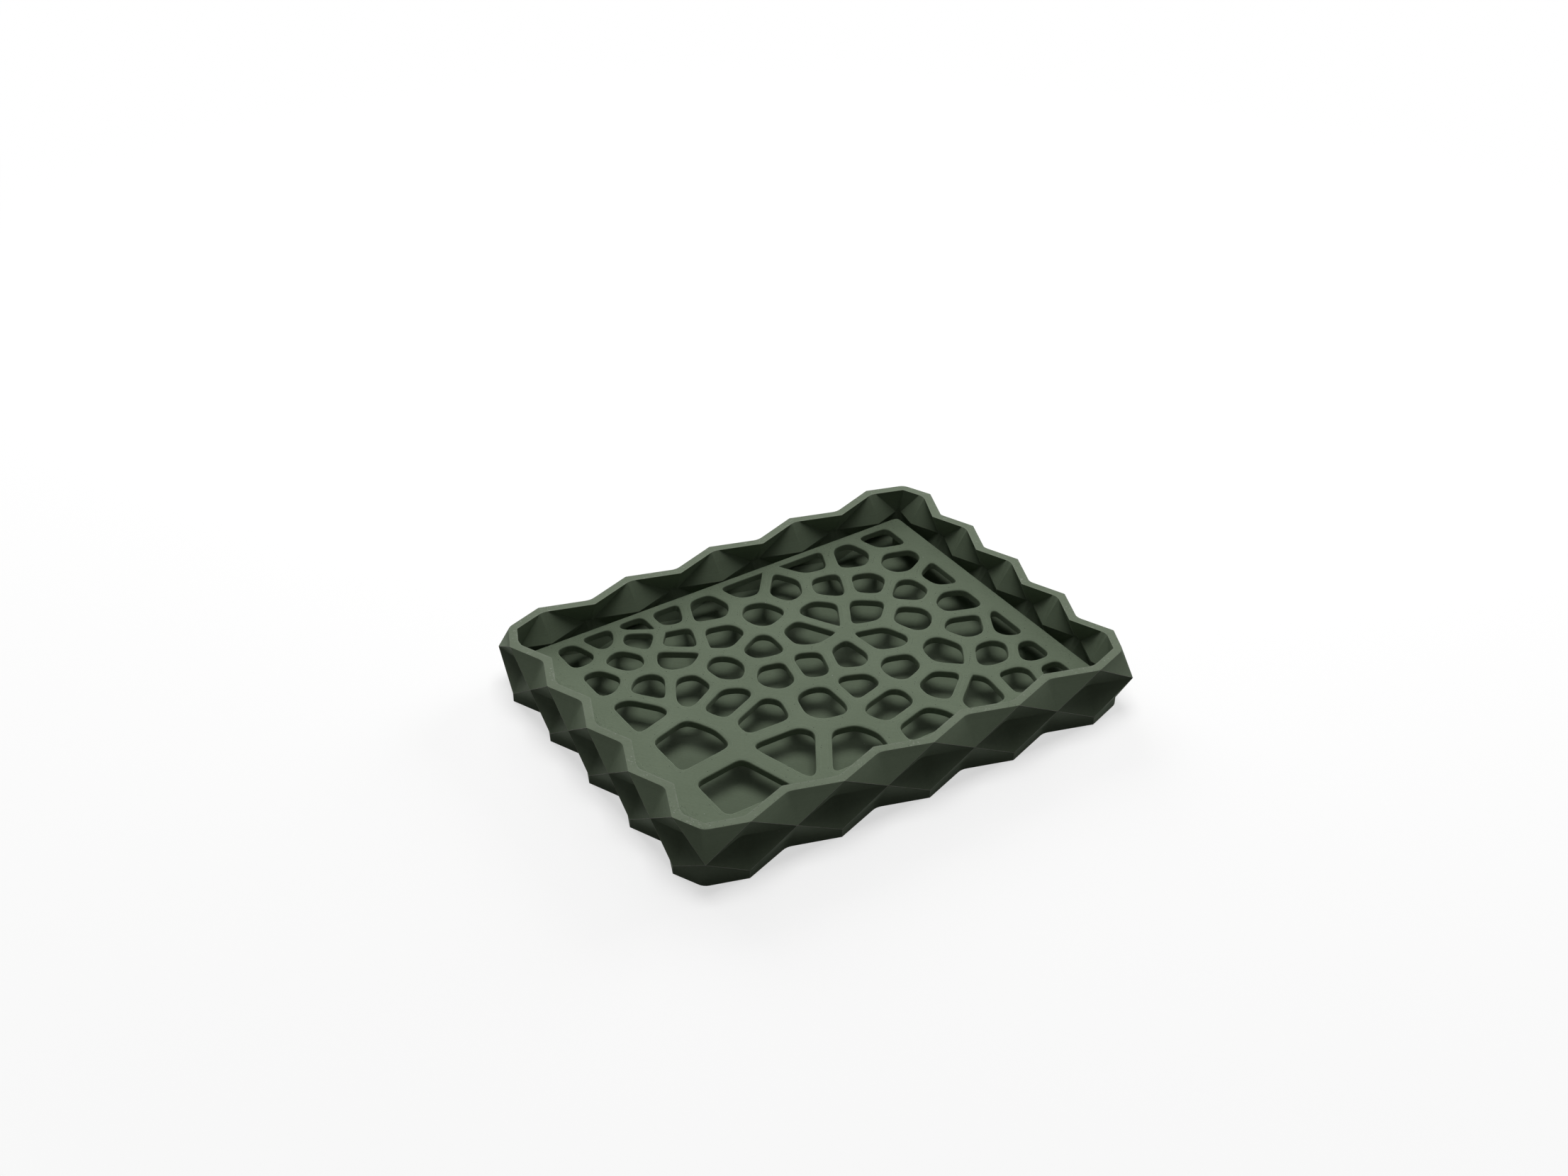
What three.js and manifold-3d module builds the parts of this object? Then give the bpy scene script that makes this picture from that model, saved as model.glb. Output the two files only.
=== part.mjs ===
// Soap dish: a folded tray with a solid floor, and a loose drain grid that lies on four posts inside it and
// lifts straight out.
// Millimetres. +X runs along the long front side, +Y towards the back and +Z up.
// The origin is the centre of the foot, on the surface that the dish stands on.
import * as THREE from 'three';
import { mergeVertices } from 'three/addons/utils/BufferGeometryUtils.js';
import Module from 'manifold-3d';

// Tray: plan of the folded wall. Every side is a zigzag of equal strokes about a straight middle line.
const HALF_LENGTH = 64.0; // centre to the middle line of a short side
const HALF_DEPTH = 47.3; // centre to the middle line of a long side
const FOLD = 2.1; // how far the zigzag stands out of the middle line, and in
const STROKES = 10; // strokes of the zigzag along each side
const LONG_PITCH = 13.0; // length of a stroke along the long sides
const SHORT_PITCH = 9.6; // length of a stroke along the short sides
const CORNER_IN = new THREE.Vector2(-1.5, -1.3); // a corner folded in, from where the middle lines meet
const CORNER_OUT = new THREE.Vector2(0, 2.0); // a corner folded out

// Tray: heights and thicknesses. Two rows of facets stand on a straight plinth as thick as the floor.
const FLOOR = 2.4;
const FACET_ROW = 7.4;
const WALL = 2.2;
const CREASE = 1.4; // how far from its corner a hollow crease starts to round
const CREASE_STEPS = 4; // straight steps round a hollow crease
const POST_RADIUS = 2.3;
const POST_SIDES = 16;
const POST_FROM_SIDE = 3.25; // post's centre in from the grid's short sides
const POST_FROM_END = 5.0; // post's centre in from the grid's long sides

// Drain grid: a flat plate pierced by the cells of a Voronoi diagram drawn in a smaller window.
const GRID_LENGTH = 117.3;
const GRID_DEPTH = 84.0;
const GRID_THICKNESS = 2.0;
const GRID_CORNER = 1.5; // radius of the plate's corners
const GRID_DROP = 7.2; // rim down to the top of the grid
const GRID_BACK = 0.5; // the loose grid lies this far behind the middle of the tray
const GRID_LEFT = 0.55; // and its outline lies this far to the left, while the holes keep to the middle
const WINDOW_LENGTH = 108.0;
const WINDOW_DEPTH = 82.0;
const HOLE_SCALE = 0.73; // a hole is its cell drawn smaller about the cell's centroid
const HOLE_ROUND = 2.2; // how far from a hole's corner its rounding starts
const HOLE_EDGE_SHARE = 0.45; // the most of an edge that one corner's rounding takes
const CURVE_STEPS = 3; // straight steps round a hole's corner
const GAP = 0.3; // clearance between the posts and the grid
const OVERLAP = 1.0; // depth by which joined and cutting solids run into each other

// Centres of the grid's cells, from the middle of the window, in bands from the back to the front.
const CELL_CENTRES = [
  [-49, 35], [-41.5, 37.5], [-29, 38], [-22, 38], [-10, 33], [3.5, 37], [24.5, 37.5], [36, 32.5],
  [48.5, 36], [-40, 26], [-32.5, 32], [-25, 25.5], [-13, 21], [0.5, 24.5], [12, 30], [22.5, 25], [32, 20.5],
  [45, 24.5], [-49, 21], [-41, 13.5], [-28.5, 20.5], [-20.5, 9], [-8, 11.5], [5, 11], [14.5, 16.5],
  [24.5, 10.5], [40, 11.5], [-48.5, 7.5], [-31, 7.5], [-10.5, 1], [-1, -1], [8.5, -4], [21, -2.5],
  [32.5, 2], [46.5, 1.5], [51, 13], [-43.5, -10.5], [-26, -2], [-22.5, -10.5], [-7, -14.5], [4, -14.5],
  [17.5, -13.5], [31, -15], [42.5, -9.5], [-41, -30.5], [-23, -25], [-11, -33], [6.5, -24.5], [22, -25.5],
  [41.5, -22], [50, -27.5], [52.5, -15], [9.5, -36], [28, -33], [40.5, -34.5], [49.5, -37],
].map(([x, y]) => new THREE.Vector2(x, y));

const MIDDLE_LEVEL = FLOOR + FACET_ROW;
const RIM_LEVEL = FLOOR + 2 * FACET_ROW;
const GRID_UNDERSIDE = RIM_LEVEL - GRID_DROP - GRID_THICKNESS;
const OLIVE = 0x66735c;

const wasm = await Module();
wasm.setup();

// Turns a closed three.js geometry into a solid that can be cut and joined.
function solidFrom(geometry) {
  const bare = new THREE.BufferGeometry();
  bare.setAttribute('position', geometry.getAttribute('position'));
  bare.setIndex(geometry.getIndex());
  const merged = mergeVertices(bare);
  const vertProperties = new Float32Array(merged.getAttribute('position').array);
  const triVerts = new Uint32Array(merged.getIndex().array);
  return new wasm.Manifold(new wasm.Mesh({ numProp: 3, vertProperties, triVerts }));
}

// Turns a finished solid back into a named mesh with its own material.
function meshFrom(name, solid, material) {
  const { vertProperties, triVerts } = solid.getMesh();
  const geometry = new THREE.BufferGeometry();
  geometry.setAttribute('position', new THREE.BufferAttribute(vertProperties, 3));
  geometry.setIndex(new THREE.BufferAttribute(triVerts, 1));
  geometry.computeVertexNormals();
  const mesh = new THREE.Mesh(geometry, material);
  mesh.name = name;
  return mesh;
}

// Matte printed plastic, one material for each piece.
function printedPlastic() {
  return new THREE.MeshStandardMaterial({ color: OLIVE, roughness: 0.8, metalness: 0 });
}

const roundIndex = (list, index) => list[(index + list.length) % list.length];

// Corners of a rectangle about the middle of the plan, anticlockwise.
function rectangle(length, depth) {
  const signs = [[-1, -1], [1, -1], [1, 1], [-1, 1]];
  return signs.map(([x, y]) => new THREE.Vector2(x * length / 2, y * depth / 2));
}

// Tray

// Plan of the zigzag at one level, anticlockwise from the near left corner, one point for each fold.
function zigzag(cornersOut) {
  const corner = cornersOut ? CORNER_OUT : CORNER_IN;
  const points = [];
  for (let side = 0; side < 4; side += 1) {
    const isLong = side % 2 === 0;
    const pitch = isLong ? LONG_PITCH : SHORT_PITCH;
    const reach = isLong ? HALF_DEPTH : HALF_LENGTH;
    const along = new THREE.Vector2(1, 0).rotateAround(new THREE.Vector2(), side * Math.PI / 2).round();
    const outward = new THREE.Vector2(along.y, -along.x);
    const cornerSigns = outward.clone().sub(along);
    points.push(new THREE.Vector2(HALF_LENGTH, HALF_DEPTH).add(corner).multiply(cornerSigns));
    for (let fold = 1; fold < STROKES; fold += 1) {
      const isOut = (fold % 2 === 0) === cornersOut;
      const point = along.clone().multiplyScalar((fold - STROKES / 2) * pitch);
      points.push(point.addScaledVector(outward, reach + (isOut ? FOLD : -FOLD)));
    }
  }
  return points;
}

// The same outline with every stroke moved inwards by the wall's thickness.
function inset(outline, thickness) {
  return outline.map((point, index) => {
    const before = point.clone().sub(roundIndex(outline, index - 1)).normalize();
    const after = roundIndex(outline, index + 1).clone().sub(point).normalize();
    const inward = new THREE.Vector2(-before.y - after.y, before.x + after.x);
    return point.clone().addScaledVector(inward, 2 * thickness / inward.lengthSq());
  });
}

// Gives every fold of an outline the same number of points. Those of a hollow crease lie on a short curve,
// and those of a sharp fold all lie on its corner, so rings of different levels can be joined point to point.
function softened(outline, isHollow) {
  return outline.flatMap((point, index) => {
    if (!isHollow(index)) {
      return Array(CREASE_STEPS + 1).fill(point);
    }
    const ends = [index - 1, index + 1].map((next) => {
      const direction = roundIndex(outline, next).clone().sub(point).normalize();
      return point.clone().addScaledVector(direction, CREASE);
    });
    return new THREE.QuadraticBezierCurve(ends[0], point, ends[1]).getPoints(CREASE_STEPS);
  });
}

// One level of the tray's outside or inside: its height, its ring of points and which way its corners fold.
function level(height, cornersOut, isInside) {
  const outline = isInside ? inset(zigzag(cornersOut), WALL) : zigzag(cornersOut);
  const isOut = (index) => (index % 2 === 0) === cornersOut;
  const ring = softened(outline, (index) => isOut(index) === isInside);
  return { ring: ring.map((point) => new THREE.Vector3(point.x, point.y, height)), isOut };
}

// A closed solid through a stack of levels. Between two levels that fold opposite ways, each quarter of the
// fold is split along the ridge that joins a fold standing out below to the next one standing out above.
function loft(levels) {
  const corners = [];
  const addTriangle = (a, b, c) => {
    if (!a.equals(b) && !b.equals(c) && !c.equals(a)) {
      corners.push(a, b, c);
    }
  };
  for (let row = 0; row + 1 < levels.length; row += 1) {
    const below = levels[row].ring;
    const above = levels[row + 1].ring;
    below.forEach((a, index) => {
      const b = roundIndex(below, index + 1);
      const c = roundIndex(above, index + 1);
      const d = above[index];
      const fold = Math.floor(index / (CREASE_STEPS + 1));
      if (levels[row].isOut(fold)) {
        addTriangle(a, b, c);
        addTriangle(a, c, d);
      } else {
        addTriangle(a, b, d);
        addTriangle(b, c, d);
      }
    });
  }
  const addCap = (ring, isTop) => {
    const outline = ring.filter((point, index) => !point.equals(roundIndex(ring, index + 1)));
    for (const [i, j, k] of THREE.ShapeUtils.triangulateShape(outline, [])) {
      addTriangle(outline[i], outline[isTop ? j : k], outline[isTop ? k : j]);
    }
  };
  addCap(levels[0].ring, false);
  addCap(levels.at(-1).ring, true);
  return new THREE.BufferGeometry().setFromPoints(corners);
}

// The four posts that the grid lies on, rooted in the floor under the grid's plain margins.
function posts() {
  const foot = FLOOR - OVERLAP;
  const height = GRID_UNDERSIDE - GAP - foot;
  const places = rectangle(GRID_LENGTH - 2 * POST_FROM_SIDE, GRID_DEPTH - 2 * POST_FROM_END);
  return places.map((place) => {
    const post = new THREE.CylinderGeometry(POST_RADIUS, POST_RADIUS, height, POST_SIDES);
    post.rotateX(Math.PI / 2);
    post.translate(place.x, place.y, foot + height / 2);
    return solidFrom(post);
  });
}

function tray() {
  const outside = [
    level(0, false, false),
    level(FLOOR, false, false),
    level(MIDDLE_LEVEL, true, false),
    level(RIM_LEVEL, false, false),
  ];
  const inside = [
    level(FLOOR, false, true),
    level(MIDDLE_LEVEL, true, true),
    level(RIM_LEVEL, false, true),
    level(RIM_LEVEL + OVERLAP, false, true),
  ];
  const shell = solidFrom(loft(outside)).subtract(solidFrom(loft(inside)));
  return meshFrom('tray', posts().reduce((solid, post) => solid.add(post), shell), printedPlastic());
}

// Drain grid

// The part of a convex outline that lies nearer to one point than to another.
function nearerPart(outline, point, other) {
  const middle = point.clone().add(other).divideScalar(2);
  const away = other.clone().sub(point);
  const past = (corner) => corner.clone().sub(middle).dot(away);
  return outline.flatMap((corner, index) => {
    const next = roundIndex(outline, index + 1);
    const here = past(corner);
    const there = past(next);
    const kept = here <= 0 ? [corner] : [];
    if (here * there < 0) {
      kept.push(corner.clone().lerp(next, here / (here - there)));
    }
    return kept;
  });
}

// Centroid of an outline: the mean of its fan triangles' centres, weighted by their areas.
function centroid(outline) {
  const sum = new THREE.Vector2();
  let area = 0;
  for (let index = 1; index + 1 < outline.length; index += 1) {
    const fan = [outline[0], outline[index], outline[index + 1]];
    const share = THREE.ShapeUtils.area(fan);
    const centre = fan[0].clone().add(fan[1]).add(fan[2]).divideScalar(3);
    sum.addScaledVector(centre, share);
    area += share;
  }
  return sum.divideScalar(area);
}

// A closed path round an outline, with each corner rounded off by a curve.
function roundedPath(path, outline, reach) {
  outline.forEach((corner, index) => {
    const ends = [index - 1, index + 1].map((next) => {
      const edge = roundIndex(outline, next).clone().sub(corner);
      const length = Math.min(reach, edge.length() * HOLE_EDGE_SHARE);
      return corner.clone().addScaledVector(edge.normalize(), length);
    });
    if (index === 0) {
      path.moveTo(ends[0].x, ends[0].y);
    } else {
      path.lineTo(ends[0].x, ends[0].y);
    }
    path.quadraticCurveTo(corner.x, corner.y, ends[1].x, ends[1].y);
  });
  path.closePath();
  return path;
}

// Outline of the hole for one cell.
function holeOutline(centre) {
  let cell = rectangle(WINDOW_LENGTH, WINDOW_DEPTH);
  for (const other of CELL_CENTRES) {
    if (other !== centre) {
      cell = nearerPart(cell, centre, other);
    }
  }
  const middle = centroid(cell);
  return cell.map((corner) => middle.clone().lerp(corner, HOLE_SCALE));
}

function drainGrid() {
  const corners = rectangle(GRID_LENGTH, GRID_DEPTH).map((corner) => corner.setX(corner.x - GRID_LEFT));
  const outline = roundedPath(new THREE.Shape(), corners, GRID_CORNER);
  outline.holes = CELL_CENTRES.map((centre) => {
    return roundedPath(new THREE.Path(), holeOutline(centre), HOLE_ROUND);
  });
  const plate = new THREE.ExtrudeGeometry(outline, {
    depth: GRID_THICKNESS,
    curveSegments: CURVE_STEPS,
    bevelEnabled: false,
  });
  plate.translate(0, GRID_BACK, GRID_UNDERSIDE);
  return meshFrom('drain_grid', solidFrom(plate), printedPlastic());
}

const soapDish = new THREE.Group();
soapDish.add(tray(), drainGrid());

export default soapDish;
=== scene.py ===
# %% [markdown]
# # A printed soap dish
#
# The dish is two printed pieces: a tray whose wall is folded into triangular facets, and a loose drain grid
# pierced by irregular holes. Both come off the printer in one matte olive plastic, so the looks are all in
# the printing: sharp ridges, soft hollow creases, fine layers up the wall, and lines laid round every hole.
# The frame already holds the exact solids. Everything below dresses those solids and never moves them.

# %% Load the frame
import math

import bmesh
import bpy
import numpy as np
from mathutils import Matrix, Vector, geometry, kdtree


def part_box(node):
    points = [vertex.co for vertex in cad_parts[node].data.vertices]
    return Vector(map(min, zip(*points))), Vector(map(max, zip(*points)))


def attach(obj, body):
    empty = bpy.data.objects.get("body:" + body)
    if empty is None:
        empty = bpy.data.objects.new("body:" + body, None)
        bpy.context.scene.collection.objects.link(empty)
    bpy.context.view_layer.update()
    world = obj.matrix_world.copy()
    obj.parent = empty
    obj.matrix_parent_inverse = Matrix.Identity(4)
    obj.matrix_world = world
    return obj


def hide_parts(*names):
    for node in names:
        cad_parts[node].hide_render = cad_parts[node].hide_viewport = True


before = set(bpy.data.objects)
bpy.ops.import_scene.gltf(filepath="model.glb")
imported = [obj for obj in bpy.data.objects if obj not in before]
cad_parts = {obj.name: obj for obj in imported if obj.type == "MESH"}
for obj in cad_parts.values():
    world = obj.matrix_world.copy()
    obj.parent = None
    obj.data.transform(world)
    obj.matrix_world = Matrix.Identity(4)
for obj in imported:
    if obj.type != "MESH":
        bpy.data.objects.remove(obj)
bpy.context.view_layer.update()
MM = 0.001

# %% [markdown]
# ## The camera
#
# The picture looks down on one corner of the dish from the left. A camera could be placed by eye, but the
# folded rim has so many sharp corners that its place can be worked out: turn, height, roll, distance and
# focal length were found by matching those corners. The camera is then built from its three axes, which
# keeps the slight roll of a hand-held picture.

# %% Make the camera
VIEW_TURN = math.radians(-34.912)
VIEW_HEIGHT = math.radians(34.913)
VIEW_ROLL = math.radians(1.234)
VIEW_DISTANCE = 556.2 * MM
VIEW_TARGET = Vector((6.0, 22.6, 17.2)) * MM
LENS = 48.97
SENSOR = 36.0
NEAR_CLIP = 10 * MM

def camera_axes():
    """Right, up and back of the camera, in the shared frame."""
    flat = math.cos(VIEW_HEIGHT)
    back = Vector((math.sin(VIEW_TURN) * flat, -math.cos(VIEW_TURN) * flat, math.sin(VIEW_HEIGHT)))
    level = Vector((0, 0, 1)).cross(back).normalized()
    upright = back.cross(level)
    right = level * math.cos(VIEW_ROLL) + upright * math.sin(VIEW_ROLL)
    up = upright * math.cos(VIEW_ROLL) - level * math.sin(VIEW_ROLL)
    return right, up, back

right, up, back = camera_axes()
camera_data = bpy.data.cameras.new("picture_camera")
camera_data.lens = LENS
camera_data.sensor_width = SENSOR
camera_data.clip_start = NEAR_CLIP
camera = bpy.data.objects.new("picture_camera", camera_data)
place = Matrix((right, up, back)).transposed().to_4x4()
place.translation = VIEW_TARGET + back * VIEW_DISTANCE
camera.matrix_world = place
bpy.context.scene.collection.objects.link(camera)
bpy.context.scene.camera = camera
bpy.context.scene.view_settings.view_transform = "Standard"
print("camera at", [round(x, 4) for x in camera.location])

# %% [markdown]
# ## Nodes in a few words
#
# The floor, the sky and both plastics are built from shader nodes. A few small helpers keep that short: one adds
# any node with its settings and inputs, one does a sum, and one makes a soft step. An input may be a number, a
# colour or another node's output, so a formula reads much as it would on paper.

# %% Helpers for nodes
def fill(tree, socket, value):
    """Links an output to an input, or sets the input's own value."""
    if isinstance(value, bpy.types.NodeSocket):
        tree.links.new(value, socket)
    else:
        socket.default_value = value

def add_node(tree, kind, inputs=None, **settings):
    made = tree.nodes.new(kind)
    for name, value in settings.items():
        setattr(made, name, value)
    for name, value in (inputs or {}).items():
        fill(tree, made.inputs[name], value)
    return made

def maths(tree, operation, *values):
    made = tree.nodes.new("ShaderNodeMath")
    made.operation = operation
    for socket, value in zip(made.inputs, values):
        fill(tree, socket, value)
    return made.outputs[0]

def smooth_step(tree, value, low, high):
    """0 below low, 1 above high and a soft rise between; low above high turns it round."""
    made = add_node(tree, "ShaderNodeMapRange", {"Value": value}, interpolation_type="SMOOTHSTEP")
    flipped = not isinstance(low, bpy.types.NodeSocket) and low > high
    ends = (high, low, 1.0, 0.0) if flipped else (low, high, 0.0, 1.0)
    for name, end in zip(("From Min", "From Max", "To Min", "To Max"), ends):
        fill(tree, made.inputs[name], end)
    return made.outputs[0]

def fresh_tree(owner):
    """The emptied node tree of a material or world."""
    owner.use_nodes = True
    owner.node_tree.nodes.clear()
    return owner.node_tree

# %% [markdown]
# ## Floor, sky and light
#
# The dish stands on plain white. A floor that is really white would throw light up under the folds and wash
# out their dark undersides, so the floor is white only for rays that show it, and a quiet grey for the light
# that bounces. The share of plain glow in it keeps the background even, and the matte share keeps the shadow.
# Away from the dish, where the lamps grow weak, the floor fades into the same plain white as the sky, so no
# horizon shows from low angles. It lies slightly below the dish, so that the two never share a plane.

# %% Make the floor and the sky
FLOOR_HALF = 4.0
FLOOR_DROP = 0.02 * MM
FLOOR_FADE = (0.12, 0.45)
FLOOR_GLOW = 0.62
FLOOR_MATTE = (0.40, 0.40, 0.40, 1)
FLOOR_BOUNCE = (0.10, 0.10, 0.10, 1)
SKY_LIGHT = (0.05, 0.05, 0.05, 1)
WHITE = (1, 1, 1, 1)

def shown_rays(tree):
    """1 for rays that show a background, straight on or in a gloss or glass, and 0 for light that bounces."""
    path = add_node(tree, "ShaderNodeLightPath").outputs
    shown = maths(tree, "MAXIMUM", path["Is Camera Ray"], path["Is Glossy Ray"])
    return maths(tree, "MAXIMUM", shown, path["Is Transmission Ray"])

def floor_material():
    material = bpy.data.materials.new("white_floor")
    tree = fresh_tree(material)
    matte = add_node(tree, "ShaderNodeBsdfDiffuse", {"Color": FLOOR_MATTE}).outputs[0]
    glow = add_node(tree, "ShaderNodeEmission", {"Color": WHITE, "Strength": FLOOR_GLOW}).outputs[0]
    near = add_node(tree, "ShaderNodeAddShader", {0: matte, 1: glow}).outputs[0]
    far = add_node(tree, "ShaderNodeEmission", {"Color": WHITE}).outputs[0]
    place = add_node(tree, "ShaderNodeTexCoord").outputs["Object"]
    away = add_node(tree, "ShaderNodeVectorMath", {0: place}, operation="LENGTH").outputs["Value"]
    fade = smooth_step(tree, away, *FLOOR_FADE)
    shown = add_node(tree, "ShaderNodeMixShader", {0: fade, 1: near, 2: far}).outputs[0]
    bounce = add_node(tree, "ShaderNodeBsdfDiffuse", {"Color": FLOOR_BOUNCE}).outputs[0]
    mixed = add_node(tree, "ShaderNodeMixShader", {0: shown_rays(tree), 1: bounce, 2: shown}).outputs[0]
    add_node(tree, "ShaderNodeOutputMaterial", {"Surface": mixed})
    return material

def make_sky():
    world = bpy.data.worlds.new("white_sky")
    tree = fresh_tree(world)
    seen = add_node(tree, "ShaderNodeBackground", {"Color": WHITE}).outputs[0]
    light = add_node(tree, "ShaderNodeBackground", {"Color": SKY_LIGHT}).outputs[0]
    mixed = add_node(tree, "ShaderNodeMixShader", {0: shown_rays(tree), 1: light, 2: seen}).outputs[0]
    add_node(tree, "ShaderNodeOutputWorld", {"Surface": mixed})
    return world

floor_mesh = bpy.data.meshes.new("floor")
floor_corners = [(x * FLOOR_HALF, y * FLOOR_HALF, 0) for x, y in ((-1, -1), (1, -1), (1, 1), (-1, 1))]
floor_mesh.from_pydata(floor_corners, [], [(0, 1, 2, 3)])
floor_mesh.materials.append(floor_material())
floor = bpy.data.objects.new("floor", floor_mesh)
floor.location.z = -FLOOR_DROP
bpy.context.scene.collection.objects.link(floor)
bpy.context.scene.world = make_sky()
print("floor", 2 * FLOOR_HALF, "m wide")

# %% [markdown]
# Three large soft lamps light the dish: a strong one overhead, a weak one low on the right and a wide one low
# behind the dish. One dome of light would do for an even picture, but then every facet would look alike. With
# light from above, behind and one side, flat tops are bright, the facets of each fold take turns between lit and
# shaded, the floor is lit under every hole, and the undersides of the folds stay nearly black. The brightness of
# a lamp is given here as its share on a level surface, because a share of 1 in all renders a colour as it is
# written. The power in watts follows from the share and the distance. Each row of the table holds a lamp's turn
# and height in degrees, its size in metres and its share.

# %% Hang the lamps
LAMP_DISTANCE = 0.9

def hang_lamp(name, turn, height, size, share):
    """A square lamp that faces the dish; turn counts from +X, and both angles are in degrees."""
    turn, height = math.radians(turn), math.radians(height)
    direction = Vector((math.cos(turn) * math.cos(height), math.sin(turn) * math.cos(height), math.sin(height)))
    data = bpy.data.lights.new(name, "AREA")
    data.shape = "SQUARE"
    data.size = size
    data.energy = share * (math.pi * LAMP_DISTANCE) ** 2 / direction.z
    lamp = bpy.data.objects.new(name, data)
    lamp.location = direction * LAMP_DISTANCE
    lamp.rotation_euler = direction.to_track_quat("Z", "Y").to_euler()
    bpy.context.scene.collection.objects.link(lamp)
    return data.energy

LAMPS = {"top_lamp": (60, 86, 0.5, 0.60),
         "right_lamp": (10, 20, 0.5, 0.15),
         "rear_lamp": (80, 23, 0.75, 0.25)}
for name, settings in LAMPS.items():
    print(name, round(hang_lamp(name, *settings), 2), "W")

# %% [markdown]
# ## Outlines read from the frame
#
# The looks follow the real edges of the pieces: the rim's two zigzags and the edges of all the drain holes.
# Those edges could be typed in again, but the solids already have them. An edge of a flat face is one whose
# other face is not level, so walking along such edges gives each outline in turn, with the plastic on its
# left.

# %% Read outlines
SAME_POINT = 0.001 * MM
SAME_HEIGHT = 0.01 * MM
FACING_UP = 0.999

def bare_mesh(node):
    """A node's mesh, with the doubled points of its flat shading merged."""
    mesh = bmesh.new()
    mesh.from_mesh(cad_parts[node].data)
    bmesh.ops.remove_doubles(mesh, verts=mesh.verts, dist=SAME_POINT)
    mesh.normal_update()
    return mesh

def is_level(face, height):
    return face.normal.z > FACING_UP and abs(face.verts[0].co.z - height) < SAME_HEIGHT

def outlines(mesh, height):
    """Closed outlines, as arrays of plan points, of the upward faces at a height."""
    following = {}
    for face in mesh.faces:
        for loop in face.loops if is_level(face, height) else []:
            if not is_level(loop.link_loop_radial_next.face, height):
                following[loop.vert] = loop.link_loop_next.vert
    found = []
    while following:
        start, vert = following.popitem()
        line = [start]
        while vert != start:
            line.append(vert)
            vert = following.pop(vert)
        found.append(np.array([v.co.xy for v in line]))
    return sorted(found, key=lambda line: -np.ptp(line[:, 0]))

grid_low, grid_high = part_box("drain_grid")
tray_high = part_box("tray")[1]
grid_outlines = outlines(bare_mesh("drain_grid"), grid_high.z)
print(len(grid_outlines) - 1, "holes in the grid")

# %% [markdown]
# ## The drain grid
#
# On the real grid every edge is slightly rounded, and the top is covered by lines that the nozzle laid: a few
# round each hole, then straight ones between. The rounding is modelled as rings of points round each outline.
# The lines are far too fine for points, so they are left to the material, which only needs to know how far
# each spot is from the nearest edge. That distance is measured here and stored on the mesh.
#
# A bevel of the solid would round the edges too, but the solid's corners have few points. Here every corner
# is rounded once more before the rings are made, so the holes stay smooth up close.

# %% Outlines of the grid's holes
CORNER_SHARE = 0.4
EDGE_ROUND = 0.35 * MM
EDGE_STEPS = 3
UNDER_ROUND = 0.15 * MM

def rounded(line):
    """Each corner replaced by three points on a small curve."""
    points = []
    for before, corner, after in zip(np.roll(line, 1, 0), line, np.roll(line, -1, 0)):
        lengths = [np.linalg.norm(end - corner) for end in (before, after)]
        cut = CORNER_SHARE * min(lengths)
        first = corner + (before - corner) * cut / lengths[0]
        last = corner + (after - corner) * cut / lengths[1]
        points += [first, (first + 2 * corner + last) / 4, last]
    return np.array(points)

def moved_in(line, distance):
    """An outline moved towards the plastic on its left."""
    before = line - np.roll(line, 1, 0)
    after = np.roll(line, -1, 0) - line
    before /= np.linalg.norm(before, axis=1)[:, None]
    after /= np.linalg.norm(after, axis=1)[:, None]
    side = before + after
    normal = np.stack([-side[:, 1], side[:, 0]], axis=1)
    return line + normal * (2 * distance / (normal ** 2).sum(axis=1))[:, None]

fine_outlines = [rounded(line) for line in grid_outlines]
print("points round all holes:", sum(map(len, fine_outlines)))

# %% [markdown]
# The top is a flat sheet with holes. A triangulation between the outlines alone would have long thin
# triangles that can't carry the distance well, so a scatter of points on a regular lattice is added, kept
# clear of the edges. Delaunay triangulation joins them all, and the triangles over the holes are dropped.

# %% Sheets of the grid
LATTICE = 0.9 * MM
CLEAR_OF_EDGE = 0.5 * MM
SAMPLE = 0.1 * MM
JOIN_REACH = 1e-6

def edge_finder(lines):
    """A search tree that finds the nearest spot on some outlines, from points spaced closely along them."""
    points = []
    for line in lines:
        for start, end in zip(line, np.roll(line, -1, 0)):
            count = max(1, int(np.linalg.norm(end - start) / SAMPLE))
            points += [start + (end - start) * step / count for step in range(count)]
    tree = kdtree.KDTree(len(points))
    for index, point in enumerate(points):
        tree.insert((*point, 0), index)
    tree.balance()
    return tree

def is_inside(points, line):
    """Which points an outline encloses, by counting crossings to their right."""
    x, y = points[:, 0, None], points[:, 1, None]
    (x1, y1), (x2, y2) = line.T, np.roll(line, -1, 0).T
    spans = (y1 > y) != (y2 > y)
    with np.errstate(divide="ignore", invalid="ignore"):
        crosses = spans & (x < x1 + (y - y1) * (x2 - x1) / (y2 - y1))
    return crosses.sum(axis=1) % 2 == 1

def is_plastic(points, lines):
    """Which points lie inside the first outline and in none of the holes."""
    inside = is_inside(points, lines[0])
    for hole in lines[1:]:
        inside &= ~is_inside(points, hole)
    return inside

def lattice_points(lines):
    """Points in even rows on the plastic, clear of its edges."""
    finder = edge_finder(lines)
    low, high = lines[0].min(axis=0), lines[0].max(axis=0)
    rows = np.arange(low[1], high[1], LATTICE * math.sqrt(3) / 2)
    points = []
    for number, y in enumerate(rows):
        shift = LATTICE / 2 * (number % 2)
        points += [(x, y) for x in np.arange(low[0] + shift, high[0], LATTICE)]
    points = np.array(points)
    points = points[is_plastic(points, lines)]
    return np.array([p for p in points if finder.find((*p, 0))[2] > CLEAR_OF_EDGE])

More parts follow.
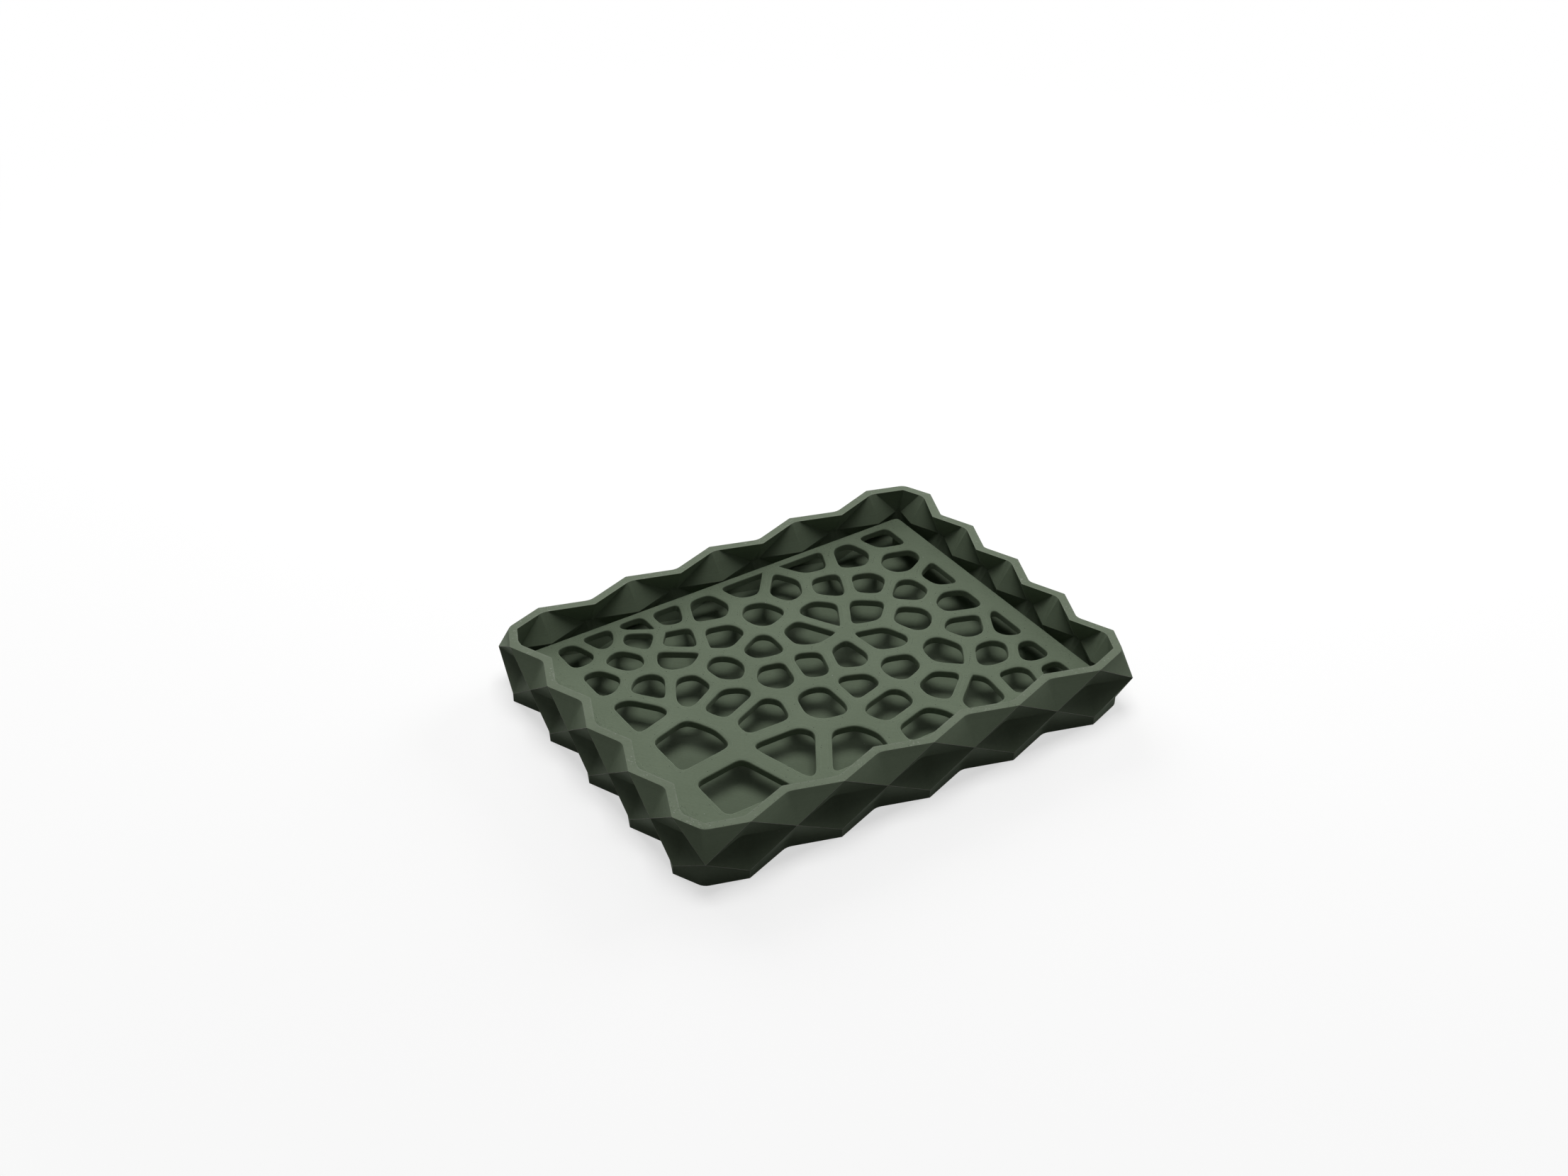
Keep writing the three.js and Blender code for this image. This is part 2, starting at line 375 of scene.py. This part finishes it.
def sheet(lines, extra):
    """Plan points and triangles of a flat sheet bounded by outlines, with extra points inside."""
    points = np.concatenate([*lines, extra]) / MM
    edges, first = [], 0
    for line in lines:
        edges += [(first + i, first + (i + 1) % len(line)) for i in range(len(line))]
        first += len(line)
    made = geometry.delaunay_2d_cdt([Vector(p) for p in points], edges, [], 0, JOIN_REACH, False)
    plan = np.array([tuple(v) for v in made[0]]) * MM
    faces = np.array(made[2])
    return plan, faces[is_plastic(plan[faces].mean(axis=1), lines)]

top_lines = [moved_in(line, EDGE_ROUND) for line in fine_outlines]
under_lines = [moved_in(line, UNDER_ROUND) for line in fine_outlines]
top_sheet = sheet(top_lines, lattice_points(top_lines))
under_sheet = sheet(under_lines, np.empty((0, 2)))
print("triangles on top:", len(top_sheet[1]), "underneath:", len(under_sheet[1]))

# %% [markdown]
# The rings go down each edge: a quarter round at the top, the wall, and a small chamfer underneath. Sheets
# and rings are made as separate faces and then merged where their points meet, which closes the solid.

# %% Make the drain grid
def edge_rings(line):
    """Rings of points from the top sheet's border, round the edge and down to the lower sheet's border."""
    rings = []
    for step in range(EDGE_STEPS + 1):
        turn = math.pi / 2 * step / EDGE_STEPS
        inwards = EDGE_ROUND * (1 - math.sin(turn))
        rings.append((moved_in(line, inwards), grid_high.z - EDGE_ROUND * (1 - math.cos(turn))))
    rings.append((line, grid_low.z + UNDER_ROUND))
    rings.append((moved_in(line, UNDER_ROUND), grid_low.z))
    return [[Vector((*point, height)) for point in plan] for plan, height in rings]

def grid_mesh():
    mesh = bmesh.new()
    for (plan, faces), height, order in ((top_sheet, grid_high.z, 1), (under_sheet, grid_low.z, -1)):
        verts = [mesh.verts.new((*point, height)) for point in plan]
        for face in faces:
            mesh.faces.new([verts[i] for i in face[::order]])
    for line in fine_outlines:
        rings = edge_rings(line)
        for upper, lower in zip(rings, rings[1:]):
            for i in range(len(upper)):
                j = (i + 1) % len(upper)
                mesh.faces.new([mesh.verts.new(corner) for corner in (lower[i], lower[j], upper[j], upper[i])])
    bmesh.ops.remove_doubles(mesh, verts=mesh.verts, dist=SAME_POINT)
    return mesh

def new_piece(name, mesh):
    """An object of its own, without the normals that a copy of a solid brings along."""
    data = bpy.data.meshes.new(name)
    mesh.to_mesh(data)
    mesh.free()
    if data.has_custom_normals:
        data.attributes.remove(data.attributes["custom_normal"])
    piece = bpy.data.objects.new(name, data)
    bpy.context.scene.collection.objects.link(piece)
    return piece

printed_grid = new_piece("printed_grid", grid_mesh())
print("grid faces:", len(printed_grid.data.polygons))

# %% [markdown]
# The material will ask three things of each spot: how far it is from the nearest edge, how far from the plate's
# own border, and whether its face lies level. These are stored as attributes. The normals are weighted by
# face size, so that the large flat top stays flat right up to its rounded edges.

# %% Measure the grid
SHARP_ANGLE = math.radians(40)
LEVEL_NORMAL = 0.9

def store(piece, name, values, domain="POINT"):
    """Keeps one number for each point or face of a piece, for its material to read."""
    attribute = piece.data.attributes.new(name, "FLOAT", domain)
    attribute.data.foreach_set("value", np.asarray(values, np.float32))

def distances(piece, finder):
    return [finder.find((*vert.co.xy, 0))[2] / MM for vert in piece.data.vertices]

def levels(piece):
    return [float(abs(face.normal.z) > LEVEL_NORMAL) for face in piece.data.polygons]

def soften(piece):
    piece.data.shade_smooth()
    piece.data.set_sharp_from_angle(angle=SHARP_ANGLE)
    piece.modifiers.new("flat_faces", "WEIGHTED_NORMAL").keep_sharp = True

from_edge = distances(printed_grid, edge_finder(fine_outlines))
store(printed_grid, "from_edge", from_edge)
store(printed_grid, "from_border", distances(printed_grid, edge_finder(fine_outlines[:1])))
store(printed_grid, "level", levels(printed_grid), "FACE")
soften(printed_grid)
print("widest web, half:", round(max(from_edge), 2), "mm")

# %% [markdown]
# ## The tray
#
# The tray's facets are flat and meet in sharp ridges, but no printed ridge is perfectly sharp: a nozzle leaves
# it a tenth or two of a millimetre round, and that thin rounded line catches the light. A copy of the solid
# gets a small bevel on every edge that stands out on the outside, and on the tops of the four posts under the
# grid. The inner wall keeps its edges, because a bevel there would pull the floor down with it. The hollow
# creases are soft in the solid already. The new faces are marked, so that the material can paint them lighter
# as a painted highlight: the outer ridges most, and the rim's edge a little.

# %% Round the tray's ridges
RIDGE_ROUND = 0.18 * MM
RIDGE_STEPS = 2
RIDGE_ANGLE = math.radians(25)
# Shares of painted highlight: a lighter colour on the rounded outer ridges, and a little on the rim's edge.
RIDGE_HIGHLIGHT, RIM_EDGE_HIGHLIGHT = 1.0, 0.12
TURNED_IN = -1 * MM

def is_under_grid(point):
    return grid_low.x < point.x < grid_high.x and grid_low.y < point.y < grid_high.y

def faces_inwards(face):
    return face.normal.xy.dot(face.calc_center_median().xy) < TURNED_IN

def is_ridge(edge):
    """Whether an edge stands out, on the outside or on a post."""
    on_post = is_under_grid(edge.verts[0].co)
    outside = not any(faces_inwards(face) for face in edge.link_faces)
    return edge.calc_face_angle_signed() > RIDGE_ANGLE and (on_post or outside)

def round_ridges(mesh):
    mark = mesh.faces.layers.float.new("ridge")
    ridges = [edge for edge in mesh.edges if is_ridge(edge)]
    made = bmesh.ops.bevel(mesh, geom=ridges, offset=RIDGE_ROUND, offset_type="OFFSET", segments=RIDGE_STEPS,
                           profile=0.5, affect="EDGES", clamp_overlap=True)
    mesh.normal_update()
    # Bevel faces get a painted highlight, except those on the posts under the grid.
    for face in made["faces"]:
        middle = face.calc_center_median()
        at_rim = middle.z > tray_high.z - RIDGE_ROUND
        face[mark] = 0.0 if is_under_grid(middle) else RIM_EDGE_HIGHLIGHT if at_rim else RIDGE_HIGHLIGHT
    print("ridges:", len(ridges), "faces round them:", len(made["faces"]))

tray_work = bare_mesh("tray")
round_ridges(tray_work)

# %% [markdown]
# The flat top of the rim shows the nozzle's lines as the grid does, so it gets the same treatment: its large
# faces are taken out, a sheet of small triangles goes in, and each point learns its distance from the nearer of
# the rim's two edges and from the inner one.

# %% Make the tray
def cut_rim(mesh):
    """Cuts the top of the tray's rim into small triangles; gives back the rim's outlines, the outer one first."""
    lines = outlines(mesh, tray_high.z)
    coarse = [face for face in mesh.faces if is_level(face, tray_high.z)]
    bmesh.ops.delete(mesh, geom=coarse, context="FACES")
    plan, faces = sheet(lines, lattice_points(lines))
    mark = mesh.faces.layers.float.new("rim")
    verts = [mesh.verts.new((*point, tray_high.z)) for point in plan]
    for face in faces:
        mesh.faces.new([verts[i] for i in face])[mark] = 1.0
    bmesh.ops.remove_doubles(mesh, verts=mesh.verts, dist=SAME_POINT)
    return lines

rim_outlines = cut_rim(tray_work)
printed_tray = new_piece("printed_tray", tray_work)
store(printed_tray, "from_edge", distances(printed_tray, edge_finder(rim_outlines)))
store(printed_tray, "from_inside", distances(printed_tray, edge_finder(rim_outlines[1:])))
store(printed_tray, "level", levels(printed_tray), "FACE")
soften(printed_tray)
print("tray faces:", len(printed_tray.data.polygons))

# %% [markdown]
# ## The finish: lines of plastic
#
# Printed plastic is a pile of thin beads. On the walls they lie one above the other, on flat tops side by
# side. Up close each bead is round, the seam between two beads is a fine dark line, and no two beads shine
# quite alike. All of that is one effect seen three times, so it is one node group: given how far a spot lies
# across the beads and how wide they are, it puts out the bead's height, the seam and a tone.
#
# Seams open only in patches, where a soft noise rises from one level to another. Many effects below come in
# patches too. Each is set by three numbers: the scale of the noise, in waves per millimetre, and the two levels.

# %% A group for laid lines
SEAM_PATCHES = (0.35, 0.35, 0.65)
SEAM_EDGE = (0.5, 1.0)

def new_group(name, inputs, outputs):
    """An empty node group with named sockets; gives its tree, what it is given and what it puts out."""
    tree = bpy.data.node_groups.new(name, "ShaderNodeTree")
    for side, sockets in (("INPUT", inputs), ("OUTPUT", outputs)):
        for socket, kind in sockets.items():
            tree.interface.new_socket(socket, in_out=side, socket_type="NodeSocket" + kind)
    return tree, add_node(tree, "NodeGroupInput").outputs, add_node(tree, "NodeGroupOutput").inputs

def noise(tree, place, scale, detail=2.0):
    return add_node(tree, "ShaderNodeTexNoise", {"Vector": place, "Scale": scale, "Detail": detail}).outputs["Fac"]

def patches(tree, place, scale, low, high, detail=2.0):
    return smooth_step(tree, noise(tree, place, scale, detail), low, high)

def times(tree, first, *others):
    for other in others:
        first = maths(tree, "MULTIPLY", first, other)
    return first

def laid_lines_group():
    tree, given, result = new_group("laid_lines", {"Across": "Float", "Pitch": "Float", "Place": "Vector"},
                                    {"Bead": "Float", "Seam": "Float", "Tone": "Float"})
    count = maths(tree, "DIVIDE", given["Across"], given["Pitch"])
    side = maths(tree, "ABSOLUTE", maths(tree, "MULTIPLY_ADD", maths(tree, "FRACT", count), 2.0, -1.0))
    fill(tree, result["Bead"], maths(tree, "SUBTRACT", 1.0, times(tree, side, side)))
    opened = patches(tree, given["Place"], *SEAM_PATCHES)
    fill(tree, result["Seam"], times(tree, smooth_step(tree, side, *SEAM_EDGE), opened))
    number = add_node(tree, "ShaderNodeTexWhiteNoise", {"W": maths(tree, "FLOOR", count)}, noise_dimensions="1D")
    fill(tree, result["Tone"], number.outputs["Value"])
    return tree

laid_lines = laid_lines_group()
print("group:", laid_lines.name)

# %% [markdown]
# ## The finish: pits and dust
#
# Where a straight line of the top layer meets the lines laid round an edge, the nozzle turns back, and some turns
# leave a pinhole. The straight lines run at 45 degrees. A group puts the pinholes where a slanted lattice, one
# step of it two lines wide, comes close to a given distance from the edge, so they stand in uneven rows along
# the edges. Loose specks are simpler: one dot in some of the cells of a Voronoi pattern.

# %% Groups for pits and specks
DOT_EDGE = (1.0, 0.4)

def slanted(tree, place, operation="ADD"):
    """Distance across the straight lines of a top layer, which run at 45 degrees, or along them."""
    part = add_node(tree, "ShaderNodeSeparateXYZ", {0: place}).outputs
    return times(tree, maths(tree, operation, part["X"], part["Y"]), math.sqrt(0.5))

def off_step(tree, value, step):
    """Distance from the middle of the step that a value is in."""
    share = maths(tree, "FRACT", maths(tree, "DIVIDE", value, step))
    return times(tree, maths(tree, "SUBTRACT", share, 0.5), step)

def turning_pits_group():
    sockets = dict.fromkeys(("From Edge", "Inset", "Pitch", "Skip", "Radius"), "Float")
    tree, given, result = new_group("turning_pits", {"Place": "Vector", **sockets}, {"Pit": "Float"})
    gaps = [maths(tree, "SUBTRACT", given["From Edge"], given["Inset"])]
    gaps.append(off_step(tree, slanted(tree, given["Place"]), times(tree, given["Pitch"], 2.0)))
    gaps.append(off_step(tree, slanted(tree, given["Place"], "SUBTRACT"), given["Skip"]))
    squares = 0.0
    for gap in gaps:
        squares = maths(tree, "MULTIPLY_ADD", gap, gap, squares)
    reach = maths(tree, "DIVIDE", maths(tree, "SQRT", squares), given["Radius"])
    fill(tree, result["Pit"], smooth_step(tree, reach, *DOT_EDGE))
    return tree

def specks_group():
    sockets = {"Place": "Vector", "Spacing": "Float", "Radius": "Float", "Share": "Float"}
    tree, given, result = new_group("specks", sockets, {"Speck": "Float"})
    scale = maths(tree, "DIVIDE", 1.0, given["Spacing"])
    cells = add_node(tree, "ShaderNodeTexVoronoi", {"Vector": given["Place"], "Scale": scale}).outputs
    reach = maths(tree, "DIVIDE", times(tree, cells["Distance"], given["Spacing"]), given["Radius"])
    number = add_node(tree, "ShaderNodeSeparateColor", {0: cells["Color"]}).outputs[0]
    kept = maths(tree, "LESS_THAN", number, given["Share"])
    fill(tree, result["Speck"], times(tree, smooth_step(tree, reach, *DOT_EDGE), kept))
    return tree

turning_pits = turning_pits_group()
specks = specks_group()
print("groups:", turning_pits.name, specks.name)

# %% [markdown]
# ## One olive plastic
#
# Both pieces share the olive plastic: a dull green with almost no gloss. A plain colour would look like a toy,
# so the tone wanders a little over the piece and from line to line, seams darken it, pits darken it with painted
# shade, ridges and edges are lightened with painted light, dust lightens it, and the same lines and pits give it
# relief. Walls show thin layers and level faces show wider lines, so the group is told which faces are level. It
# mixes everything in a fixed order and puts out the colour, the roughness and the height. Relief and the sizes
# of lines are in millimetres.

# %% Colours and sizes of the plastic
OLIVE_DEEP = (0.107, 0.137, 0.091, 1)
OLIVE_PALE = (0.137, 0.173, 0.118, 1)
# Pale grey of the painted highlights on ridges and edges, and of the painted light on the rim.
OLIVE_PAINTED_LIGHT = (0.420, 0.420, 0.370, 1)
OLIVE_SEAM = (0.060, 0.078, 0.052, 1)
# Near black of the painted shade inside pinholes.
PIT_SHADE = (0.030, 0.036, 0.027, 1)
DUST_PALE = (0.38, 0.39, 0.36, 1)
LAYER, LINE = 0.2, 0.45
LAYER_RELIEF, LINE_RELIEF, PIT_RELIEF, GRAIN_RELIEF = 0.005, 0.010, -0.06, 0.004

def group_node(tree, group, inputs):
    return add_node(tree, "ShaderNodeGroup", inputs, node_tree=group).outputs

def lines_across(tree, place, across, pitch):
    return group_node(tree, laid_lines, {"Across": across, "Pitch": pitch, "Place": place})

def blend(tree, share, low, high):
    """A mix of two colours, or of two values where both are values or numbers."""
    is_colour = isinstance(high, tuple)
    made = add_node(tree, "ShaderNodeMix", data_type="RGBA" if is_colour else "FLOAT")
    first = 6 if is_colour else 2
    for index, value in ((0, share), (first, low), (first + 1, high)):
        fill(tree, made.inputs[index], value)
    return made.outputs[2 if is_colour else 0]

print("olive from", OLIVE_DEEP[:3], "to", OLIVE_PALE[:3])

# %% [markdown]
# The mix starts from a slow drift over the whole piece, a fine mottle and the tone of each line. A share of 0 is
# the deep olive and 1 the pale one, so the sum is shifted down until it lies about the middle. Paler spots are
# also a little smoother.

# %% A group for the olive plastic
WALL_TONE, WALL_SEAM = 0.6, 0.3
MEAN_TONE = 0.5
DRIFT_SCALE, DRIFT = 0.06, 0.9
MOTTLE_SCALE, MOTTLE = 1.3, 0.5
LINE_TONE, TONE_SHIFT = 0.3, 0.4
SEAM_SHARE, DUST_SHARE = 0.45, 0.7
# Patches make the painted light uneven; its share never drops below the least one.
PAINTED_LIGHT_PATCHES, LEAST_PAINTED_LIGHT = (0.5, 0.3, 0.7), 0.65
LOOSE_SPECKS = {"Spacing": 4.0, "Radius": 0.16, "Share": 0.3}
GRAIN_SCALE = 6.0
ROUGHEST, SMOOTHED = 0.82, -0.16

def on_walls(tree, place, given):
    """Tone, seam and relief: those of thin layers on walls, and the given ones on level faces."""
    up = add_node(tree, "ShaderNodeSeparateXYZ", {0: place}).outputs["Z"]
    layers = lines_across(tree, place, up, LAYER)
    walls = {"Tone": blend(tree, WALL_TONE, MEAN_TONE, layers["Tone"]),
             "Seam": times(tree, layers["Seam"], WALL_SEAM),
             "Relief": times(tree, layers["Bead"], LAYER_RELIEF)}
    return [blend(tree, given["Level"], value, given[name]) for name, value in walls.items()]

def olive_plastic_group():
    """Mixes the olive from its deep and pale tones, then lays seams, painted light on ridges and edges, pits with
    painted shade and dust over it.
    """
    sockets = dict.fromkeys(("Level", "Tone", "Seam", "Relief", "Pit", "Painted Light", "Dust"), "Float")
    tree, given, result = new_group("olive_plastic", {"Place": "Vector", **sockets},
                                    {"Colour": "Color", "Roughness": "Float", "Height": "Float"})
    place, pit = given["Place"], given["Pit"]
    tone, seam, relief = on_walls(tree, place, given)
    drift = maths(tree, "MULTIPLY_ADD", noise(tree, place, DRIFT_SCALE), DRIFT, times(tree, tone, LINE_TONE))
    mottle = maths(tree, "MULTIPLY_ADD", noise(tree, place, MOTTLE_SCALE), MOTTLE,
                   maths(tree, "SUBTRACT", drift, TONE_SHIFT))
    colour = blend(tree, mottle, OLIVE_DEEP, OLIVE_PALE)
    colour = blend(tree, times(tree, seam, SEAM_SHARE), colour, OLIVE_SEAM)
    # Painted light: ridges, edges and the rim are mixed towards a pale grey, unevenly in patches.
    uneven = blend(tree, patches(tree, place, *PAINTED_LIGHT_PATCHES), LEAST_PAINTED_LIGHT, 1.0)
    colour = blend(tree, times(tree, given["Painted Light"], uneven), colour, OLIVE_PAINTED_LIGHT)
    # Pinholes: painted shade darkens them, and their sinking below is real relief.
    colour = blend(tree, pit, colour, PIT_SHADE)
    loose = group_node(tree, specks, {"Place": place, **LOOSE_SPECKS})["Speck"]
    pale = times(tree, maths(tree, "MAXIMUM", loose, given["Dust"]), DUST_SHARE)
    fill(tree, result["Colour"], blend(tree, pale, colour, DUST_PALE))
    fill(tree, result["Roughness"], maths(tree, "MULTIPLY_ADD", mottle, SMOOTHED, ROUGHEST))
    grain = times(tree, noise(tree, place, GRAIN_SCALE), GRAIN_RELIEF)
    sunk = maths(tree, "MULTIPLY_ADD", pit, PIT_RELIEF, grain)
    fill(tree, result["Height"], maths(tree, "ADD", relief, sunk))
    return tree

olive_plastic = olive_plastic_group()
print("group:", olive_plastic.name, "with", len(olive_plastic.nodes), "nodes")

# %% [markdown]
# A material then needs little more: the group's colour and roughness go straight to the shader, and its height
# goes through a bump. Gloss is the same all over, so it is set on the shader itself.

# %% Place the plastic in a material
GLOSS = 0.12

def new_material(name):
    material = bpy.data.materials.new(name)
    return material, fresh_tree(material)

def read(tree, name):
    """A number stored on the mesh."""
    return add_node(tree, "ShaderNodeAttribute", attribute_name=name).outputs["Fac"]

def place_in_mm(tree):
    place = add_node(tree, "ShaderNodeTexCoord").outputs["Object"]
    return add_node(tree, "ShaderNodeVectorMath", {0: place, "Scale": 1 / MM}, operation="SCALE").outputs[0]

def add_plastic(tree, inputs):
    olive = group_node(tree, olive_plastic, inputs)
    bump = add_node(tree, "ShaderNodeBump", {"Height": olive["Height"], "Strength": 1.0, "Distance": MM})
    shader = add_node(tree, "ShaderNodeBsdfPrincipled", {"Base Color": olive["Colour"], "Normal": bump.outputs[0],
                      "Roughness": olive["Roughness"], "Specular IOR Level": GLOSS})
    add_node(tree, "ShaderNodeOutputMaterial", {"Surface": shader.outputs[0]})

# %% [markdown]
# The tray shows straight lines on its flat floor. Its rim has one line laid along each edge, straight lines
# between, and pinholes where the two meet, most of them in front. The rim is painted a little paler than the
# grid: painted light, since the rim stands in brighter light. Along its inner edge the ends of the straight lines
# show as pale ticks, and pale specks lie along the rim, thicker in some stretches.

# %% Pale specks and line ends on the rim
PALE_SPECKS, SPECK_DETAIL, SPECK_SHARE = (1.7, 0.56, 0.70), 3.0, 0.5
SPECK_STRETCHES = (0.22, 0.48, 0.62)
END_REACH, END_BEAD = (0.5, 0.2), (0.3, 0.8)
END_PATCHES = (0.5, 0.4, 0.6)
END_FAINT, END_PALE = 0.06, 0.18

# Pale specks along the rim, thicker in some stretches.
def rim_pale_specks(tree, place):
    return times(tree, patches(tree, place, *PALE_SPECKS, SPECK_DETAIL), patches(tree, place, *SPECK_STRETCHES), SPECK_SHARE)

def line_ends(tree, place, from_inside, bead):
    """Pale ticks where the middles of straight lines come to the rim's inner edge."""
    ticks = times(tree, smooth_step(tree, from_inside, *END_REACH), smooth_step(tree, bead, *END_BEAD))
    return times(tree, ticks, blend(tree, patches(tree, place, *END_PATCHES), END_FAINT, END_PALE))

# %% The tray's plastic
FLAT_TONE, FLAT_SEAM = 0.4, 0.2
RIM_PITS = {"Inset": 0.3, "Pitch": LINE, "Skip": 0.8, "Radius": 0.17}
PITS_FADE = (-25.0, -42.0)
PITS_BEHIND, PITS_IN_FRONT = 0.2, 0.85
# Painted light: the whole rim top is mixed a little towards the pale grey, as the rim stands in brighter light.
RIM_PAINTED_LIGHT = 0.05

def tray_plastic():
    material, tree = new_material("tray_plastic")
    place = place_in_mm(tree)
    stored = ("from_edge", "from_inside", "level", "rim", "ridge")
    from_edge, from_inside, level, rim, ridge = (read(tree, name) for name in stored)
    straight = lines_across(tree, place, slanted(tree, place), LINE)
    border = lines_across(tree, place, from_edge, LINE)
    at_edge = times(tree, rim, maths(tree, "LESS_THAN", from_edge, LINE))
    tone, seam, bead = (blend(tree, at_edge, straight[name], border[name]) for name in ("Tone", "Seam", "Bead"))
    pits = group_node(tree, turning_pits, {"Place": place, "From Edge": from_edge, **RIM_PITS})["Pit"]
    along = add_node(tree, "ShaderNodeSeparateXYZ", {0: place}).outputs["Y"]
    in_front = blend(tree, smooth_step(tree, along, *PITS_FADE), PITS_BEHIND, PITS_IN_FRONT)
    pale = maths(tree, "MAXIMUM", rim_pale_specks(tree, place), line_ends(tree, place, from_inside, straight["Bead"]))
    add_plastic(tree, {"Place": place, "Level": level,
                       "Tone": blend(tree, FLAT_TONE, MEAN_TONE, tone),
                       "Seam": times(tree, seam, FLAT_SEAM),
                       "Relief": times(tree, bead, LINE_RELIEF / 2),
                       "Pit": times(tree, pits, in_front, rim),
                       "Painted Light": maths(tree, "MULTIPLY_ADD", rim, RIM_PAINTED_LIGHT, ridge),
                       "Dust": times(tree, pale, rim)})
    return material

printed_tray.data.materials.append(tray_plastic())
print("tray material:", printed_tray.data.materials[0].name)

# %% [markdown]
# On the grid three lines go round every hole and along the plate's own border. Straight lines fill the rest, and
# they show less than the rounds. Near the border, where the plate meets the tray's wall, it is darkened in streaky
# patches: partly its own lines, partly painted shade of the gap at the wall. The noise for the streaks is squeezed
# along X, which draws its spots out into strokes.

# %% Dark streaks along the grid's border
BORDER_STREAKS, SQUEEZE = (0.7, 0.5, 0.66), (6.0, 1.3, 1.0)
STREAK_PATCHES = (0.16, 0.42, 0.58)
STREAK_REACH = (4.2, 1.8)

def border_streaks(tree, place, from_border):
    squeezed = add_node(tree, "ShaderNodeVectorMath", {0: place, 1: SQUEEZE}, operation="MULTIPLY").outputs[0]
    near = smooth_step(tree, from_border, *STREAK_REACH)
    return times(tree, patches(tree, squeezed, *BORDER_STREAKS), near, patches(tree, place, *STREAK_PATCHES))

# %% The grid's plastic
ROUNDS = 3
FIELD_TONE, ROUND_TONE = 0.35, 0.7
FIELD_SEAM, ROUND_SEAM, STREAK_SEAM = 0.2, 0.7, 0.9
FIELD_BEAD = 0.5
GRID_PITS = {"Inset": ROUNDS * LINE, "Pitch": LINE, "Skip": 3.1, "Radius": 0.21}
PIT_SHARE = 0.75
HOLE_EDGE_HIGHLIGHT, HIGHLIGHT_REACH = 0.15, (0.3, 0.05)

def grid_plastic():
    material, tree = new_material("grid_plastic")
    place = place_in_mm(tree)
    from_edge, from_border, level = (read(tree, name) for name in ("from_edge", "from_border", "level"))
    straight = lines_across(tree, place, slanted(tree, place), LINE)
    rounds = lines_across(tree, place, from_edge, LINE)
    at_edge = maths(tree, "LESS_THAN", from_edge, ROUNDS * LINE)
    tone = blend(tree, at_edge, straight["Tone"], rounds["Tone"])
    seam = blend(tree, at_edge, times(tree, straight["Seam"], FIELD_SEAM), times(tree, rounds["Seam"], ROUND_SEAM))
    # Streaks near the border: partly the plate's own lines, partly painted shade of the gap at the wall.
    streaks = border_streaks(tree, place, from_border)
    bead = blend(tree, at_edge, times(tree, straight["Bead"], FIELD_BEAD), rounds["Bead"])
    pits = group_node(tree, turning_pits, {"Place": place, "From Edge": from_edge, **GRID_PITS})["Pit"]
    # Painted highlight along the edges of holes, on level faces.
    hole_edge_highlight = smooth_step(tree, from_edge, *HIGHLIGHT_REACH)
    add_plastic(tree, {"Place": place, "Level": level,
                       "Tone": blend(tree, blend(tree, at_edge, FIELD_TONE, ROUND_TONE), MEAN_TONE, tone),
                       "Seam": maths(tree, "MULTIPLY_ADD", streaks, STREAK_SEAM, seam),
                       "Relief": times(tree, bead, LINE_RELIEF),
                       "Pit": times(tree, pits, level, PIT_SHARE),
                       "Painted Light": times(tree, hole_edge_highlight, level, HOLE_EDGE_HIGHLIGHT)})
    return material

printed_grid.data.materials.append(grid_plastic())
print("grid material:", printed_grid.data.materials[0].name)

# %% [markdown]
# ## Riding on the frame
#
# Each dressed piece rides on the body that it belongs to and stands for that body's solid, so the grid lifts
# out with its joint and the tray stays.

# %% Join the pieces to the frame
for piece, node in ((printed_tray, "tray"), (printed_grid, "drain_grid")):
    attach(piece, node)
    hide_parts(node)
